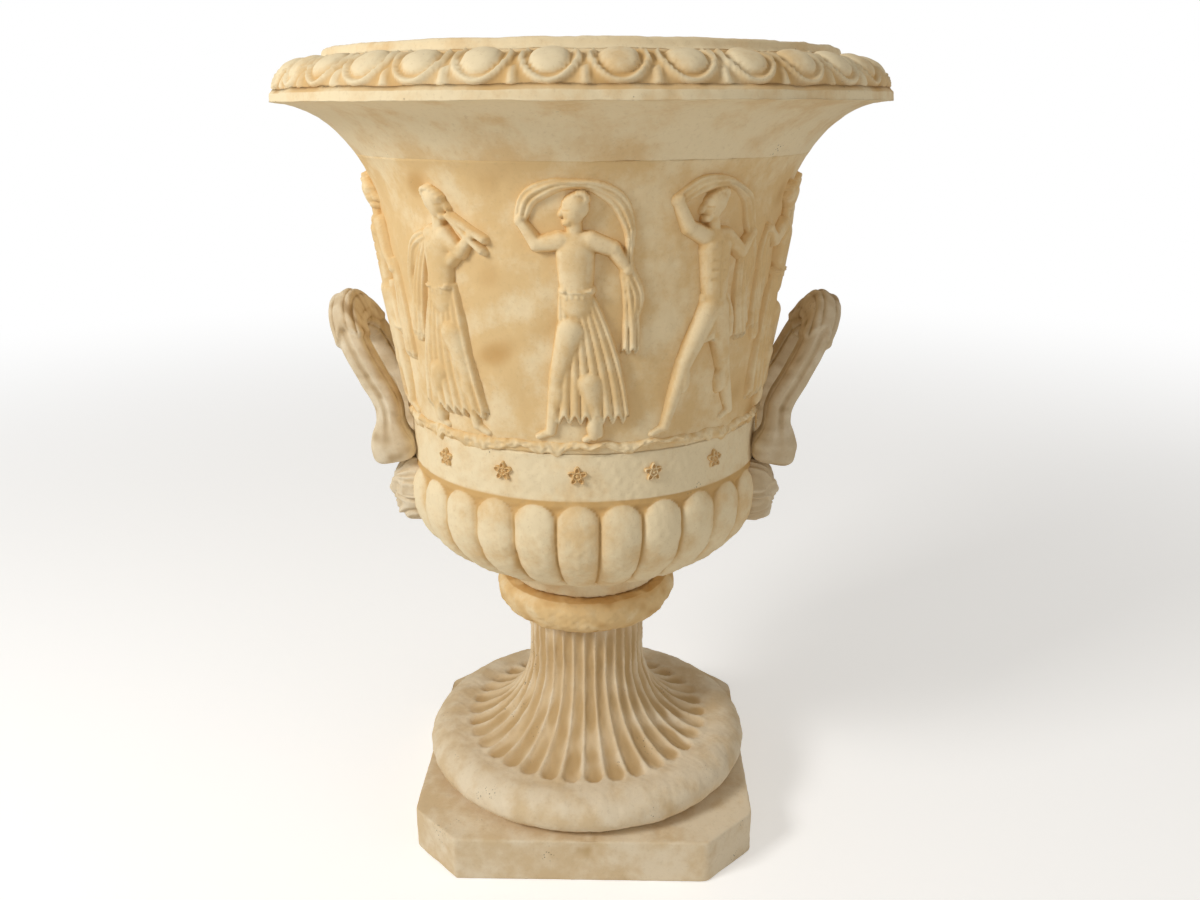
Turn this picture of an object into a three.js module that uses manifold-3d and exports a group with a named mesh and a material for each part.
// Campana vase of terracotta: a bell on a gadrooned bowl, a fluted foot and a square plinth.
// Millimetres, +Z up. The origin is the middle of the plinth's underside.
// The front looks along -Y, and the handles stand at -X and +X.
// An azimuth is measured from the front, -Y, towards +X.
import * as THREE from "three";
import { mergeVertices } from "three/addons/utils/BufferGeometryUtils.js";
import Module from "manifold-3d";

const wasm = await Module();
wasm.setup();

// Clearance where one piece sits on or against another
const seatGap = 0.3;

// Plinth
const plinthWidth = 377;
const plinthHeight = 51;
const plinthCutCorner = 52;

// Foot: torus, ring, fluted flare and stem
const footHeight = 187;
const torusRadius = 190;
const torusBulge = 30;
const torusDrop = 20;
const torusRise = 24;
const ringRadius = 152;
const ringStep = 1.5;
const flareHeight = 95;
const stemRadius = 67.5;
const fluteCount = 34;
const fluteDepthAtRing = 4.5;
const fluteDepthAtStem = 3;
const fluteEndMargin = 6;

// Collar between the stem and the bowl
const collarHeight = 49.7;
const collarRadius = 103;
const collarWidestHeight = 37;
const collarFilletRadius = 73.5;
const collarFilletHeight = 6;

// Bowl: neck, gadroons and plain band
const bowlHeight = 199.4;
const bowlRadius = 197;
const bowlWidestHeight = 116;
const bowlCurveReach = 152;
const bowlCurveDrop = 98;
const bowlNeckRadius = 86;
const bowlNeckHeight = 14;
const bowlTipRadius = 106;
const gadroonCount = 28;
const gadroonDepth = 7;
const gadroonTop = 151.5;
const waistRadius = 188;
const wall = 20;
const basinFloorHeight = 32;

// Bell and the flare that the rim goes on with
const bellHeight = 266.7;
const wallSlope = 0.098;
const flareRise = 107;

// Rim: underside, lower fillet, egg-and-dart moulding and upper fillet
const rimHeight = 94.7;
const rimRadius = 305;
const rimUndersideHeight = 47;
const rimFilletHeight = 9;
const rimMouldingHeight = 29;
const rimMouldingReach = 45;
const rimTopRadius = 253;
const rimMouthRadius = 229;
const eggCount = 34;
const eggWidth = 36;
const eggLength = 38;
const eggRelief = 6;
const eggHeightAngle = 46;
const dartWidth = 14;
const mouldingTolerance = 0.8;
const eggTurn = -2.6;

// Rocky ledge under the figures, over the seam of bowl and bell
const ledgeHeight = 17;
const ledgeDrop = 5;
const ledgeRelief = 5;
const ledgeRoughness = 1;

// Handles
const armSpread = 47;
const armRootSpread = 52;
const armWidth = 36;
const armThickness = 28;
const armRootWidth = 48;
const armRootThickness = 50;
const handleLean = 27;
const handleRootReach = 200;
const handleRootHeight = 151.5;
const handleCrownReach = 254;
const handleCrownHeight = 301.5;
const leafSwell = 1.26;
const leafFromCrown = 46;

// Bearded heads under the arms
const headWidth = 46;
const headHeight = 73;
const headDepth = 56;
const headReach = 218;

// Rosettes on the plain band
const rosettePitch = 22.5;
const rosetteRadius = 10;
const rosetteDepth = 3.5;
const rosetteHeight = 178;

// Frieze of relief figures
const figurePitch = 36;
const reliefDepth = 0.75;
const figureHeight = 240;
const figureTolerance = 1.2;

// Facets round the vase
const roundSegments = 48;
const gadroonFacets = 4;
const fluteFacets = 3;

// Levels, each piece on the one below
const footBase = plinthHeight + seatGap;
const collarBase = footBase + footHeight + seatGap;
const bowlBase = collarBase + collarHeight + seatGap;
const bellBase = bowlBase + bowlHeight + seatGap;
const rimBase = bellBase + bellHeight + seatGap;
const rimUnderside = rimBase + rimUndersideHeight;
const vaseTop = rimBase + rimHeight;
const flareStart = rimUnderside - flareRise;
const ledgeBase = bellBase - ledgeDrop;
const groundHeight = ledgeBase + ledgeHeight + seatGap;

// Materials
const paint = (color, roughness) => new THREE.MeshStandardMaterial({ color, roughness, metalness: 0 });
const creamClay = paint(0xe9cf9f, 0.85);
const honeyClay = paint(0xd9b67c, 0.85);
const footClay = paint(0xd8bf97, 0.9);
const handleClay = paint(0xcdb791, 0.9);

const radians = THREE.MathUtils.degToRad;

// How far a flat facet lies inside its circle at the facet's middle
const facetSag = (radius) => radius * (1 - Math.cos(Math.PI / roundSegments));

// Points of an ellipse from one angle to another, in degrees from the outward direction
function arc(centreRadius, centreHeight, reach, rise, from, to, steps) {
  return Array.from({ length: steps + 1 }, (_, i) => {
    const angle = radians(from + ((to - from) * i) / steps);
    return [centreRadius + reach * Math.cos(angle), centreHeight + rise * Math.sin(angle)];
  });
}

// Turns an outline of [radius, height, depth] about the axis; each point sinks by its depth times the pattern
function revolve(outline, segments, pattern = () => 0) {
  const points = outline.map(([radius, height]) => new THREE.Vector2(radius, height));
  const geometry = new THREE.LatheGeometry(points, segments);
  geometry.rotateX(Math.PI / 2);
  const position = geometry.attributes.position;
  for (let i = 0; i < position.count; i++) {
    const depth = outline[i % outline.length][2] || 0;
    if (depth === 0) continue;
    const x = position.getX(i);
    const y = position.getY(i);
    const azimuth = Math.atan2(x, -y);
    const scale = 1 - (depth * pattern(azimuth)) / Math.hypot(x, y);
    position.setXY(i, x * scale, y * scale);
  }
  return geometry;
}

// A closed surface through rings of as many points each, with a fan to the middle of each end ring
function loft(rings) {
  const size = rings[0].length;
  const last = rings.length - 1;
  const middle = (ring) => ring.reduce((sum, p) => sum.add(p), new THREE.Vector3()).divideScalar(size);
  const points = rings.flat().concat([middle(rings[0]), middle(rings[last])]);
  const startFan = size * rings.length;
  const index = [];
  for (let j = 0; j < size; j++) {
    const k = (j + 1) % size;
    for (let i = 0; i < last; i++) {
      const row = i * size;
      index.push(row + j, row + k, row + size + k);
      index.push(row + j, row + size + k, row + size + j);
    }
    index.push(startFan, k, j);
    index.push(startFan + 1, last * size + j, last * size + k);
  }
  return new THREE.BufferGeometry().setFromPoints(points).setIndex(index);
}

// A closed geometry as a solid that can be cut and joined
function solid(geometry) {
  const bare = new THREE.BufferGeometry();
  bare.setAttribute("position", geometry.getAttribute("position"));
  bare.setIndex(geometry.index);
  const merged = mergeVertices(bare, 1e-3);
  const corners = merged.index.array;
  const triVerts = [];
  for (let i = 0; i < corners.length; i += 3) {
    const [a, b, c] = [corners[i], corners[i + 1], corners[i + 2]];
    if (a !== b && b !== c && c !== a) triVerts.push(a, b, c);
  }
  return new wasm.Manifold(
    new wasm.Mesh({
      numProp: 3,
      vertProperties: merged.getAttribute("position").array,
      triVerts: new Uint32Array(triVerts),
    }),
  );
}

// A solid back as a geometry
function surface(body) {
  const mesh = body.getMesh();
  const geometry = new THREE.BufferGeometry();
  geometry.setAttribute("position", new THREE.BufferAttribute(mesh.vertProperties, 3));
  geometry.setIndex(new THREE.BufferAttribute(mesh.triVerts, 1));
  geometry.computeVertexNormals();
  return geometry;
}

const join = (geometries) => geometries.map(solid).reduce((all, next) => all.add(next));

// A box given by two opposite corners
function block(low, high) {
  const size = high.map((value, i) => value - low[i]);
  const geometry = new THREE.BoxGeometry(...size);
  return geometry.translate(...low.map((value, i) => value + size[i] / 2));
}

// Radius of the bell's outer wall, and of the rim's underside, at a height
const straightWall = (height) => waistRadius + wallSlope * (height - bellBase);
function wallRadius(height) {
  const climb = THREE.MathUtils.clamp((height - flareStart) / flareRise, 0, 1);
  const flareReach = rimRadius - straightWall(rimUnderside);
  return straightWall(height) + flareReach * (1 - Math.sqrt(1 - climb * climb));
}

// Radius of the inner wall at a height
function innerRadius(height) {
  const climb = Math.max(0, (height - flareStart) / (vaseTop - flareStart));
  const spread = rimMouthRadius - (straightWall(vaseTop) - wall);
  return straightWall(height) - wall + spread * climb * climb;
}

// Heights from one level to another, closer together towards the end
function levels(from, to, steps) {
  return Array.from({ length: steps + 1 }, (_, i) => from + (to - from) * Math.sin((Math.PI / 2) * (i / steps)));
}

// Heights of the bell's outer rows, which what lies on the bell shares
const bellRows = [bellBase, ...levels(flareStart, bellBase + bellHeight, 3)];

const vase = new THREE.Group();

// Adds one named piece to the vase
function piece(name, geometry, material) {
  const mesh = new THREE.Mesh(geometry, material);
  mesh.name = name;
  vase.add(mesh);
  return mesh;
}

// Plinth: a square with its corners cut off
function plinthShape() {
  const half = plinthWidth / 2;
  const side = half - plinthCutCorner;
  const shape = new THREE.Shape();
  shape.moveTo(-side, -half);
  shape.lineTo(side, -half);
  shape.lineTo(half, -side);
  shape.lineTo(half, side);
  shape.lineTo(side, half);
  shape.lineTo(-side, half);
  shape.lineTo(-half, side);
  shape.lineTo(-half, -side);
  return shape;
}
piece("plinth", new THREE.ExtrudeGeometry(plinthShape(), { depth: plinthHeight, bevelEnabled: false }), footClay);

// Foot: a plain torus and ring, and on it the flare, whose flutes end rounded inside the ring
const flute = (azimuth) => Math.max(0, Math.cos(fluteCount * azimuth));
function torusOutline() {
  const torusMiddle = torusRadius - torusBulge;
  const torusTop = torusDrop + torusRise;
  return [
    [0, 0],
    ...arc(torusMiddle, torusDrop, torusBulge, torusDrop, -90, 0, 2),
    ...arc(torusMiddle, torusDrop, torusBulge, torusRise, 30, 90, 2),
    [ringRadius, torusTop],
    [ringRadius - ringStep, torusTop - ringStep],
    [0, torusTop - ringStep],
  ];
}
function flareOutline() {
  const flareBase = torusDrop + torusRise - ringStep;
  const flareTop = flareBase + flareHeight;
  const fluteEnd = ringRadius - fluteEndMargin;
  const flare = arc(ringRadius, flareTop, stemRadius - ringRadius, -flareHeight, 84, 0, 5).map(([radius, height]) => {
    const share = (radius - stemRadius) / (ringRadius - stemRadius);
    return [radius, height, THREE.MathUtils.lerp(fluteDepthAtStem, fluteDepthAtRing, share)];
  });
  return [
    [0, flareBase - torusRise / 2],
    [fluteEnd, flareBase - torusRise / 2],
    [fluteEnd, flareBase],
    ...flare,
    [stemRadius, footHeight, fluteDepthAtStem],
    [0, footHeight],
  ];
}
const torus = solid(revolve(torusOutline(), roundSegments));
const flare = solid(revolve(flareOutline(), fluteCount * fluteFacets, flute));
const foot = piece("foot", surface(torus.add(flare)), footClay);
foot.position.z = footBase;

// Collar: a rounded ring over a small fillet
function collarOutline() {
  const roundFoot = collarFilletRadius + seatGap * 10;
  return [
    [0, 0],
    [collarFilletRadius, 0],
    [collarFilletRadius, collarFilletHeight],
    [roundFoot, collarFilletHeight],
    ...arc(roundFoot, collarWidestHeight, collarRadius - roundFoot, collarWidestHeight - collarFilletHeight, -60, 0, 4),
    ...arc(bowlNeckRadius, collarWidestHeight, collarRadius - bowlNeckRadius, collarHeight - collarWidestHeight, 35, 90, 2),
    [0, collarHeight],
  ];
}
const collar = piece("collar", revolve(collarOutline(), roundSegments, () => 0), honeyClay);
collar.position.z = collarBase;

// Outer outline of the bowl over the lobes' crowns, from the neck up, as [radius, height, depth of the grooves]
function bowlCrowns() {
  const curveMiddle = bowlRadius - bowlCurveReach;
  const tipAngle = THREE.MathUtils.radToDeg(Math.acos((bowlTipRadius - curveMiddle) / bowlCurveReach));
  const below = arc(curveMiddle, bowlWidestHeight, bowlCurveReach, bowlCurveDrop, -tipAngle, 0, 4);
  const lineRadius = waistRadius + ringStep;
  const shoulder = arc(
    lineRadius,
    bowlWidestHeight,
    bowlRadius - lineRadius,
    gadroonTop - bowlWidestHeight,
    55,
    90,
    1,
  );
  const grooved = below.map(([radius, height]) => [radius, height, (gadroonDepth * radius) / bowlRadius]);
  const [high, top] = shoulder;
  return [...grooved, [...high, gadroonDepth * 0.9], top];
}

// Lobe pattern: none at a crown, whole in the groove between two lobes
function lobe(azimuth) {
  const turn = ((gadroonCount * azimuth) / Math.PI) % 2;
  const fromCrown = Math.min(1, Math.abs(Math.abs(turn) > 1 ? 2 - Math.abs(turn) : turn));
  return 1 - Math.sqrt(1 - fromCrown * fromCrown);
}

// Bowl: the lobed outside less the basin
function bowlGeometry() {
  const crowns = bowlCrowns();
  const outside = revolve(
    [[0, 0], [bowlNeckRadius, 0], [bowlNeckRadius, bowlNeckHeight], ...crowns, [waistRadius, gadroonTop + ringStep],
      [waistRadius, bowlHeight], [0, bowlHeight]],
    gadroonCount * gadroonFacets,
    lobe,
  );
  const basinRadius = waistRadius - wall;
  const basin = revolve(
    [[0, basinFloorHeight], ...arc(0, bowlWidestHeight, basinRadius, bowlWidestHeight - basinFloorHeight, -60, 0, 3),
      [basinRadius, bowlHeight + wall], [0, bowlHeight + wall]],
    roundSegments / 2,
  );
  return surface(solid(outside).subtract(solid(basin)));
}
const bowl = piece("bowl", bowlGeometry(), creamClay);
bowl.position.z = bowlBase;

// Bell: a wall that is open at both ends
function bellOutline() {
  const outer = bellRows.map((height) => [wallRadius(height), height]);
  const inner = levels(bellBase, bellBase + bellHeight, 2).map((height) => [innerRadius(height), height]);
  return [...outer, ...inner.reverse(), outer[0]];
}
piece("bell", revolve(bellOutline(), roundSegments), honeyClay);

// Rim: one turned ring with the eggs of its moulding raised on it
function rimOutline() {
  const filletTop = rimUnderside + rimFilletHeight;
  const mouldingMiddle = rimRadius - rimMouldingReach - ringStep;
  const underside = levels(rimBase, rimUnderside, 4).map((height) => [wallRadius(height), height]);
  const inner = levels(rimBase, vaseTop, 2).map((height) => [innerRadius(height), height]);
  return [
    ...underside,
    [rimRadius, filletTop],
    ...arc(mouldingMiddle, filletTop, rimMouldingReach - eggRelief / 2, rimMouldingHeight, 0, 90, 2),
    [rimTopRadius + ringStep, filletTop + rimMouldingHeight],
    [rimTopRadius, vaseTop],
    ...inner.reverse(),
    underside[0],
  ];
}
// Places a motif round the moulding; it is made at the origin with its face towards -Y
function placeOnMoulding(motif, liftAngle, turn) {
  const angle = radians(liftAngle);
  const reach = rimMouldingReach - eggRelief / 2;
  const radius = rimRadius - rimMouldingReach - ringStep + reach * Math.cos(angle);
  const height = rimUnderside + rimFilletHeight + rimMouldingHeight * Math.sin(angle);
  return motif.rotateX(-angle).translate(0, -radius, height).rotateZ(radians(eggTurn) + turn);
}
function eggsAndDarts() {
  const pitch = (2 * Math.PI) / eggCount;
  return Array.from({ length: eggCount }, (_, i) => {
    const egg = new THREE.SphereGeometry(1, 6, 3).scale(eggWidth / 2, eggRelief, eggLength / 2);
    const dart = new THREE.SphereGeometry(1, 4, 2).scale(dartWidth / 2, eggRelief, dartWidth / 2);
    return [placeOnMoulding(egg, eggHeightAngle, i * pitch), placeOnMoulding(dart, 24, (i + 0.5) * pitch)];
  }).flat();
}
const rimSolid = solid(revolve(rimOutline(), roundSegments)).add(join(eggsAndDarts()));
piece("rim", surface(rimSolid.asOriginal().simplify(mouldingTolerance)), creamClay);

// Rocky ledge: a belt with an uneven face
function ledgeOutline() {
  const top = ledgeBase + ledgeHeight;
  const inner = (height) => wallRadius(Math.max(height, bellBase)) + facetSag(waistRadius) + seatGap;
  const face = waistRadius + ledgeRelief;
  return [
    [inner(ledgeBase), ledgeBase],
    [face, ledgeBase + ringStep, ledgeRoughness],
    [face + ledgeRoughness, ledgeBase + ledgeHeight * 0.6, ledgeRoughness],
    [face, top, ledgeRoughness],
    [inner(top), top],
    [inner(ledgeBase), ledgeBase],
  ];
}
const rocks = (azimuth) => Math.sin(9 * azimuth) * Math.sin(23 * azimuth + 1);
piece("ground_ledge", revolve(ledgeOutline(), roundSegments, rocks), honeyClay);

// The body that handles, heads and figures are cut to, grown by a clearance
function carcass(clearance) {
  const grow = ([radius, height]) => [radius + clearance, height];
  const crowns = bowlCrowns().map(([radius, height]) => grow([radius, height + bowlBase]));
  const ledgeFace = waistRadius + ledgeRelief + 2 * ledgeRoughness + clearance;
  const bell = bellRows.slice(1).map((height) => grow([wallRadius(height), height]));
  return solid(
    revolve(
      [
        [0, crowns[0][1]],
        ...crowns,
        grow([waistRadius, bowlBase + gadroonTop + ringStep]),
        grow([waistRadius, ledgeBase - clearance]),
        [ledgeFace, ledgeBase - clearance],
        [ledgeFace, groundHeight],
        grow([wallRadius(groundHeight), groundHeight]),
        ...bell,
        [0, bellBase + bellHeight],
      ],
      roundSegments,
    ),
  );
}
const seatBody = carcass(seatGap + facetSag(bowlRadius));

// Middle line of a handle on the +X side: up one arm, over the crown and down the other
function handlePath() {
  const lean = Math.tan(radians(handleLean));
  const arm = (fromCrown, spread) =>
    new THREE.Vector3(
      handleCrownReach - lean * fromCrown,
      spread,
      bowlBase + handleCrownHeight - fromCrown,
    );
  const root = (spread, height, reach) => new THREE.Vector3(reach, spread, bowlBase + height);
  const rise = handleCrownHeight - handleRootHeight;
  const half = [
    root(armRootSpread, handleRootHeight - armRootWidth / 4, handleRootReach),
    root(armRootSpread, handleRootHeight + armRootWidth / 2, handleRootReach + armThickness / 6),
    arm(rise * 0.61, (armSpread + armRootSpread) / 2),
    arm(rise * 0.41, armSpread),
    arm(rise * 0.23, armSpread * 0.95),
    arm(rise * 0.07, armSpread * 0.62),
  ];
  const mirrored = half.map((p) => new THREE.Vector3(p.x, -p.y, p.z)).reverse();
  return new THREE.CatmullRomCurve3([...half, arm(0, 0), ...mirrored]);
}

// Section of an arm: an oblong with rounded corners
function armSection(width, thickness) {
  const squared = (value) => Math.sign(value) * Math.sqrt(Math.abs(value));
  return Array.from({ length: 12 }, (_, i) => {
    const angle = radians(30 * i + 15);
    return [(width / 2) * squared(Math.cos(angle)), (thickness / 2) * squared(Math.sin(angle))];
  });
}

// Handle grown by a clearance: the section goes along the path, wider at the roots and swollen by the crown's leaf
function handleSweep(clearance) {
  const path = handlePath();
  const steps = 20;
  const planeNormal = new THREE.Vector3(Math.cos(radians(handleLean)), 0, -Math.sin(radians(handleLean)));
  const crownLevel = bowlBase + handleCrownHeight;
  const rings = Array.from({ length: steps + 1 }, (_, i) => {
    const share = i / steps;
    const point = path.getPointAt(share);
    const along = path.getTangentAt(share);
    const out = planeNormal.clone().addScaledVector(along, -planeNormal.dot(along)).normalize();
    const across = new THREE.Vector3().crossVectors(out, along);
    const rootLevel = bowlBase + handleRootHeight;
    const nearRoot = THREE.MathUtils.smoothstep(rootLevel + armRootWidth - point.z, 0, armRootWidth * 0.8);
    const swell = crownLevel - point.z < leafFromCrown ? leafSwell : 1;
    const width = THREE.MathUtils.lerp(armWidth, armRootWidth, nearRoot) * swell + 2 * clearance;
    const thickness = THREE.MathUtils.lerp(armThickness, armRootThickness, nearRoot) * swell + 2 * clearance;
    return armSection(width, thickness).map(([u, v]) =>
      point.clone().addScaledVector(across, u).addScaledVector(out, v),
    );
  });
  return solid(loft(rings));
}

// A handle cut to the body and level under its roots
function handleGeometry() {
  const reach = 2 * handleCrownReach;
  const belowRoots = block([0, -reach, 0], [reach, reach, bowlBase + handleRootHeight]);
  return surface(handleSweep(0).subtract(seatBody).subtract(solid(belowRoots)));
}

// The room that both handles take with their clearance, where relief that reaches them stops
const rightArmRoom = handleSweep(seatGap);
const armRoom = rightArmRoom.add(rightArmRoom.rotate([0, 0, 180]));
const handleRight = handleGeometry();
piece("handle_right", handleRight, handleClay);
piece("handle_left", handleRight.clone().rotateZ(Math.PI), handleClay);

// Head of a bearded man: skull, brow, nose, moustache and beard, looking out from the bowl
function headGeometry(side) {
  const middle = bowlBase + handleRootHeight - headHeight / 2;
  const ball = (across, out, up, width, depth, height) =>
    new THREE.SphereGeometry(1, 8, 6).scale(depth / 2, width / 2, height / 2).translate(out, across, middle + up);
  const back = headReach - headDepth / 2;
  const turn = side * Math.asin(armRootSpread / handleRootReach);
  const nose = headReach - 2;
  const features = [
    ball(0, back, 0, headWidth, headDepth - 6, headHeight),
    ball(0, nose - 5, headHeight * 0.16, headWidth * 0.62, 10, 8),
    ball(0, nose - 3, headHeight * 0.03, 9, 14, 20),
    ball(0, nose - 12, -headHeight * 0.3, headWidth * 0.72, 24, headHeight * 0.4),
  ];
  const aboveHead = block([0, -headReach, middle + headHeight / 2 - seatGap], [2 * headReach, headReach, vaseTop]);
  const whole = features.map((feature) => solid(feature.rotateZ(turn))).reduce((all, next) => all.add(next));
  return surface(whole.subtract(seatBody).subtract(solid(aboveHead)));
}
const headFront = headGeometry(-1);
const headBack = headGeometry(1);
piece("head_right_front", headFront, handleClay);
piece("head_right_back", headBack, handleClay);
piece("head_left_front", headBack.clone().rotateZ(Math.PI), handleClay);
piece("head_left_back", headFront.clone().rotateZ(Math.PI), handleClay);

// Rosette: five round petals that rise to a button in the middle
function rosetteGeometry() {
  const sides = 10;
  const ring = (scale, lift) =>
    Array.from({ length: sides }, (_, i) => {
      const angle = (i / sides) * 2 * Math.PI;
      const radius = rosetteRadius * (0.82 + 0.18 * Math.cos(5 * angle)) * scale;
      return new THREE.Vector3(radius * Math.cos(angle), -lift, radius * Math.sin(angle));
    });
  return loft([ring(1, 0), ring(0.8, rosetteDepth), ring(0.3, rosetteDepth * 0.6)]);
}
function addRosettes() {
  const places = 360 / rosettePitch;
  let number = 0;
  for (let i = 0; i < places; i++) {
    const azimuth = i * rosettePitch;
    const fromHandle = Math.min(Math.abs(azimuth - 90), Math.abs(azimuth - 270));
    const underArm = fromHandle > rosettePitch / 2 && fromHandle < 1.5 * rosettePitch;
    if (underArm) continue;
    number += 1;
    const rosette = rosetteGeometry();
    rosette.translate(0, -waistRadius - seatGap, bowlBase + rosetteHeight);
    rosette.rotateZ(radians(azimuth));
    piece(`rosette_${String(number).padStart(2, "0")}`, rosette, honeyClay);
  }
}
addRosettes();

// A limb of a figure laid flat: across, out and up; it tapers from one radius to the other and has blunt ends
function limb([x0, z0], [x1, z1], r0, r1, lift = 1) {
  const length = Math.hypot(x1 - x0, z1 - z0);
  const outline = [[0, -r0], [r0, 0], [r1, length], [0, length + r1]];
  const geometry = revolve(outline, 5);
  geometry.rotateY(Math.atan2(x1 - x0, z1 - z0));
  return geometry.scale(1, reliefDepth, 1).translate(x0, -lift, z0);
}

// A chain of limbs through points
const chain = (points, r0, r1, lift) =>
  points.slice(1).map((point, i) => limb(points[i], point, r0, r1, lift));

// Folds that fan out from a waist to a hem
function folds(waist, hem, count) {
  return Array.from({ length: count }, (_, i) => {
    const share = i / (count - 1);
    const mix = ([a, b]) => [
      THREE.MathUtils.lerp(a[0], b[0], share),
      THREE.MathUtils.lerp(a[1], b[1], share),
    ];
    return limb(mix(waist), mix(hem), 5, 8, 1.5);
  });
}

// A figure from its joints, all as [across, up] from the middle of its standing place
function figureParts(pose) {
  const head = new THREE.SphereGeometry(1, 7, 5).scale(11, 8, 14).translate(pose.head[0], -2, pose.head[1]);
  const shoulders = limb(pose.arms[0][0], pose.arms[1][0], 8, 8, 2);
  const trunk = [limb(pose.chest, pose.head, 7, 6, 1), shoulders, limb(pose.chest, pose.hips, 16, 13, 0)];
  const arms = pose.arms.flatMap(([shoulder, elbow, hand]) => [
    limb(shoulder, elbow, 7.4, 5.6, 3),
    limb(elbow, hand, 5.6, 4, 3),
  ]);
  const legs = pose.legs.flatMap(([hip, knee, ankle]) => [limb(hip, knee, 12, 7.6, 0), limb(knee, ankle, 7.6, 5, 1)]);
  const skirt = folds(pose.waist, pose.hem, pose.foldCount);
  const cloths = pose.cloths.flatMap((points) => chain(points, 6, 6, 1));
  return [head, ...trunk, ...arms, ...legs, ...skirt, ...cloths];
}

// Bends a flat figure round the bell at an azimuth and cuts its back to the wall
const figureScale = figureHeight / 240;
function layOnBell(parts, azimuth) {
  for (const part of parts) {
    const position = part.attributes.position;
    for (let i = 0; i < position.count; i++) {
      const height = groundHeight + position.getZ(i) * figureScale;
      const wallHere = wallRadius(height);
      const radius = wallHere + seatGap - position.getY(i) * figureScale;
      const angle = azimuth + (position.getX(i) * figureScale) / wallHere;
      position.setXYZ(i, radius * Math.sin(angle), -radius * Math.cos(angle), height);
    }
  }
  const bell = revolve(
    [
      [0, ledgeBase],
      [straightWall(ledgeBase) + seatGap, ledgeBase],
      ...bellRows.map((height) => [wallRadius(height) + seatGap, height]),
      [0, bellBase + bellHeight],
    ],
    roundSegments,
  );
  const below = block([-rimRadius, -rimRadius, 0], [rimRadius, rimRadius, groundHeight]);
  const figure = join(parts).asOriginal().simplify(figureTolerance);
  return surface(figure.subtract(solid(bell)).subtract(solid(below)).subtract(armRoom));
}

// Poses of the frieze, drawn 240 high and scaled to the figures' height
const veilDancer = {
  head: [0, 214],
  neck: [0, 200],
  chest: [1, 178],
  hips: [2, 132],
  arms: [
    [[-12, 189], [-32, 186], [-46, 206]],
    [[14, 189], [34, 182], [46, 164]],
  ],
  legs: [
    [[-6, 110], [-16, 66], [-24, 14]],
    [[12, 60], [16, 30], [20, 8]],
  ],
  foldCount: 5,
  waist: [[-10, 140], [12, 140]],
  hem: [[-14, 20], [44, 22]],
  cloths: [[[-46, 206], [-36, 230], [0, 238], [34, 230], [50, 200], [46, 164], [54, 132]]],
};
const scarfYouth = {
  head: [-6, 214],
  neck: [-2, 200],
  chest: [3, 178],
  hips: [8, 128],
  arms: [
    [[-9, 189], [-28, 198], [-42, 222]],
    [[15, 187], [36, 172], [50, 188]],
  ],
  legs: [
    [[2, 122], [-20, 74], [-34, 10]],
    [[12, 122], [26, 68], [42, 14]],
  ],
  foldCount: 3,
  waist: [[-6, 134], [20, 130]],
  hem: [[-12, 104], [26, 92]],
  cloths: [
    [[-42, 222], [-16, 236], [20, 232], [44, 214], [50, 188]],
    [[50, 188], [56, 156], [46, 128], [52, 104]],
  ],
};
const drumDancer = {
  head: [2, 213],
  neck: [2, 199],
  chest: [1, 178],
  hips: [-4, 130],
  arms: [
    [[-11, 188], [-30, 176], [-46, 188]],
    [[14, 188], [28, 200], [30, 218]],
  ],
  legs: [
    [[-6, 60], [-8, 30], [-10, 8]],
    [[6, 100], [20, 66], [34, 14]],
  ],
  foldCount: 5,
  waist: [[-14, 140], [6, 140]],
  hem: [[-34, 20], [24, 16]],
  cloths: [
    [[-46, 188], [-54, 160], [-44, 134], [-50, 108]],
    [[24, 226], [34, 232], [42, 222], [36, 212], [26, 216]],
  ],
};
const staffYouth = {
  head: [-2, 216],
  neck: [0, 202],
  chest: [0, 180],
  hips: [3, 130],
  arms: [
    [[-14, 190], [-30, 166], [-38, 190]],
    [[14, 190], [26, 164], [38, 150]],
  ],
  legs: [
    [[-4, 122], [-7, 68], [-10, 10]],
    [[10, 122], [20, 70], [26, 10]],
  ],
  foldCount: 3,
  waist: [[-12, 136], [18, 126]],
  hem: [[-14, 98], [30, 84]],
  cloths: [
    [[-38, 4], [-38, 226]],
    [[38, 150], [42, 128], [34, 96], [40, 70]],
  ],
};
const piper = {
  head: [5, 216],
  neck: [2, 202],
  chest: [-1, 179],
  hips: [-4, 130],
  arms: [
    [[-8, 190], [12, 168], [32, 184]],
    [[8, 190], [24, 176], [38, 192]],
  ],
  legs: [
    [[4, 100], [14, 66], [20, 10]],
    [[-18, 60], [-26, 34], [-32, 10]],
  ],
  foldCount: 5,
  waist: [[-14, 142], [10, 142]],
  hem: [[-36, 20], [26, 16]],
  cloths: [
    [[16, 208], [46, 180]],
    [[-10, 190], [-38, 178], [-50, 146], [-40, 112]],
  ],
};
const procession = [veilDancer, scarfYouth, drumDancer, staffYouth, piper];

function addFigures() {
  const places = 360 / figurePitch;
  for (let i = 0; i < places; i++) {
    const pose = procession[i % procession.length];
    const figure = layOnBell(figureParts(pose), radians(i * figurePitch));
    piece(`figure_${String(i + 1).padStart(2, "0")}`, figure, honeyClay);
  }
}
addFigures();

export default vase;
